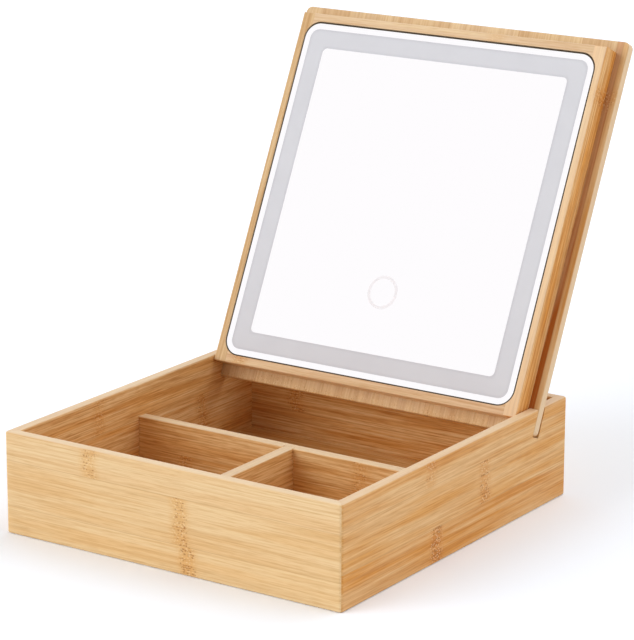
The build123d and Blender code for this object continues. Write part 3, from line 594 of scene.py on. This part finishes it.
def jacket(name, low, high, plus_up):
    """The shrunk-on sleeve of a cell between low and high, mm up the lid from its middle, with a
    pale ring near the plus end and bare nickel at both ends."""
    made, tree, shader = material(name, "#46535F", {"Coat Weight": 0.4, "Coat Roughness": 0.1})
    place = add(tree, "TexCoord", {}, out="Object")
    at = add(tree, "VectorMath", {0: place, 1: lid_up}, out="Value", operation="DOT_PRODUCT")
    at = add(tree, "Math", {0: at, 1: 1000.0, 2: -lid_middle.dot(lid_up)},
             operation="MULTIPLY_ADD")
    bare = add(tree, "Math", {0: add(tree, "Math", {0: at, 1: low}, operation="LESS_THAN"),
                              1: add(tree, "Math", {0: at, 1: high}, operation="GREATER_THAN")},
               operation="MAXIMUM")
    ring_from_end, ring_half = 7.0, 2.5
    middle = high - ring_from_end if plus_up else low + ring_from_end
    away = add(tree, "Math", {0: at, 1: middle}, operation="SUBTRACT")
    away = add(tree, "Math", {0: away}, operation="ABSOLUTE")
    band = add(tree, "Math", {0: away, 1: ring_half}, operation="LESS_THAN")
    scuff = add(tree, "TexNoise", {"Vector": place, "Scale": 160.0, "Detail": 4.0})
    worn = add(tree, "MapRange", {0: scuff, 1: 0.55, 2: 0.75, 3: 0.0, 4: 0.3})
    shade = linear("#46535F")
    for amount, colour in ((band, "#B4BAC0"), (worn, "#5A6670"), (bare, "#CFCBC2")):
        shade = add(tree, "Mix", {0: amount, 6: shade, 7: linear(colour)}, out=2,
                    data_type="RGBA")
    tree.links.new(shade, shader.inputs["Base Color"])
    tree.links.new(bare, shader.inputs["Metallic"])
    rough = add(tree, "MapRange", {0: scuff, 1: 0.3, 2: 0.7, 3: 0.24, 4: 0.4})
    tree.links.new(rough, shader.inputs["Roughness"])
    return made


# the sleeve covers the can's straight side; a cell with its plus end down sits 1.8 mm lower
plus_down = jacket("cell_jacket_plus_down", -14.3, 28.5, False)
plus_up = jacket("cell_jacket_plus_up", -12.5, 30.3, True)
for cell, sleeve in (("aaa_cell_1", plus_down), ("aaa_cell_2", plus_up),
                     ("aaa_cell_3", plus_down), ("aaa_cell_4", plus_up)):
    dress(cell, sleeve)

# stamped from strip and nickel plated: bright, with the strip's fine rolling lines
nickel = wavering("nickel_plated_spring_steel", "#D2CEC5", "#BDB8AD", 0.3,
                  {"Metallic": 1.0, "Roughness": 0.24}, relief=0.005, stretch=(8, 1, 1))
dress("upper_contacts", nickel)
dress("lower_contacts", nickel)

# ------------------------------------------------------------------ wires inside the lid
# Thin stranded wires in coloured PVC sleeves, soldered at both ends: two from the battery
# contacts to the board, two on to the ring of lights, and one to the touch foil.

# extruded PVC: an even colour with a soft gloss
red = wavering("red_pvc_sleeve", "#A8281E", "#9A231A", 0.6, {"Roughness": 0.35}, relief=0.01)
black = wavering("black_pvc_sleeve", "#2B2B2D", "#232325", 0.6, {"Roughness": 0.35}, relief=0.01)
white = wavering("white_pvc_sleeve", "#E4E2DC", "#DAD7D0", 0.6, {"Roughness": 0.4}, relief=0.01)


def wire(name, diameter, routes, *nodes):
    """Sleeved wires along these routes in the lid's own millimetres, each with its finish."""
    bm = bmesh.new()
    for index, (finish, route) in enumerate(routes):
        line = bpy.data.curves.new(name, "CURVE")
        line.dimensions = "3D"
        line.bevel_depth = diameter / 2
        line.bevel_resolution = 3
        line.use_fill_caps = True
        spline = line.splines.new("NURBS")
        spline.points.add(len(route) - 1)
        for point, place in zip(spline.points, route):
            point.co = (*place, 1.0)
        spline.order_u = 3
        spline.use_endpoint_u = True
        spline.resolution_u = 8
        drawn = bpy.data.objects.new(name, line)
        mesh = bpy.data.meshes.new_from_object(drawn)
        bpy.data.objects.remove(drawn)
        count = len(bm.faces)
        bm.from_mesh(mesh)
        bm.faces.ensure_lookup_table()
        for face in bm.faces[count:]:
            face.material_index = index
            face.smooth = True
    piece(name, bm, [finish for finish, route in routes], "lid", "wire_sleeve", *nodes)


def pair(points):
    """The same route on both sides, red on the left and black on the right."""
    return [(finish, [(side * across, up, out) for across, up, out in points])
            for side, finish in ((-1, red), (1, black))]


# the points are the solids' own, in mm: across the lid, up it, and out of its front
wire("battery_leads", 1.2, pair([(16.65, -20.45, 2.45), (16.65, -27.3, 2.45), (2, -34.15, 2.45),
                                 (2, -41, 2.45)]), "battery_wires")
wire("light_leads", 1.2, pair([(2, -59, 1.2), (2, -69.07, 1.2), (4, -79.13, 1.2),
                               (4, -89.2, 1.2)]), "led_wires")
wire("touch_lead", 0.8, [(white, [(14.4, -50, 1.7), (14.4, -50, 3.87), (7.3, -50, 6.03),
                                  (7.3, -50, 8.2)])], "sensor_wire")

# ------------------------------------------------------------------ floor, light and camera
# A plain pale floor that goes white for the camera, a soft key light from the front left, one
# from above and a weak one from the right, and a white sky that metal and glass see whole.
floor_colour, tree, shader = material("studio_floor", "#EDEDED", {"Roughness": 0.9})
seen = add(tree, "LightPath", {}, out="Is Camera Ray")
pale = add(tree, "Mix", {0: seen, 6: (0.8, 0.8, 0.8, 1.0), 7: (1.07, 1.12, 1.20, 1.0)}, out=2,
           data_type="RGBA")
tree.links.new(pale, shader.inputs["Base Color"])
shader.inputs["Specular IOR Level"].default_value = 0.0
floor_half = 12.0
bm = bmesh.new()
bmesh.ops.create_grid(bm, x_segments=1, y_segments=1, size=floor_half)
mesh = bpy.data.meshes.new("studio_floor")
bm.to_mesh(mesh)
bm.free()
mesh.materials.append(floor_colour)
floor = bpy.data.objects.new("studio_floor", mesh)
bpy.context.scene.collection.objects.link(floor)
under_the_box = -0.0002
floor.location.z = under_the_box

world = bpy.data.worlds.new("studio_sky")
bpy.context.scene.world = world
world.use_nodes = True
tree = world.node_tree
sky = tree.nodes["Background"]
sky.inputs["Color"].default_value = (1.0, 1.0, 1.0, 1.0)
path = add(tree, "LightPath", {}, out="Is Camera Ray")
shown = add(tree, "Math", {0: path, 1: path.node.outputs["Is Glossy Ray"]}, operation="MAXIMUM")
shown = add(tree, "Math", {0: shown, 1: path.node.outputs["Is Transmission Ray"]},
            operation="MAXIMUM")
# as a light it is dimmer from the front right and from overhead, as in a room
direction = add(tree, "TexCoord", {}, out="Generated")
aside = add(tree, "VectorMath", {0: direction, 1: (0.53, -0.80, 0.28)}, out="Value",
            operation="DOT_PRODUCT")
aside = add(tree, "MapRange", {0: aside, 1: 0.4, 2: 0.95, 3: 1.08, 4: 0.3})
height = add(tree, "SeparateXYZ", {0: direction}, out=2)
height = add(tree, "MapRange", {0: height, 1: 0.0, 2: 1.0, 3: 1.0, 4: 0.45})
room = add(tree, "Math", {0: aside, 1: height}, operation="MULTIPLY")
strength = add(tree, "Mix", {0: shown, 2: room, 3: 1.0}, out=0)
tree.links.new(strength, sky.inputs["Strength"])

# at level 1 a lamp would light a white surface that faces it as fully as the sky does
for name, level, spread, towards in (("front_left_softbox", 0.55, 50, (-0.53, -0.78, 0.33)),
                                     ("overhead_softbox", 0.21, 50, (0.18, 0.50, 0.85)),
                                     ("right_card", 0.21, 40, (0.93, 0.12, 0.30))):
    lamp = bpy.data.lights.new(name, "SUN")
    lamp.energy = level * math.pi
    lamp.angle = math.radians(spread)
    softbox = bpy.data.objects.new(name, lamp)
    softbox.rotation_euler = Vector(towards).to_track_quat("Z", "Y").to_euler()
    softbox.visible_glossy = False
    bpy.context.scene.collection.objects.link(softbox)

# fitted to the corners of box and lid: metres, and degrees round, down and over
place, turn, down, roll = (0.9011, -1.3111, 0.5504), 33.99, 15.42, 0.12
camera = bpy.data.cameras.new("camera")
camera.lens = 170.68
camera.sensor_width = 36
camera.sensor_fit = "HORIZONTAL"
viewer = bpy.data.objects.new("camera", camera)
viewer.matrix_world = (Matrix.Translation(place)
                       @ Matrix.Rotation(math.radians(turn), 4, "Z")
                       @ Matrix.Rotation(math.radians(90 - down), 4, "X")
                       @ Matrix.Rotation(math.radians(roll), 4, "Z"))
bpy.context.scene.collection.objects.link(viewer)
bpy.context.scene.camera = viewer
bpy.context.scene.view_settings.view_transform = "Standard"
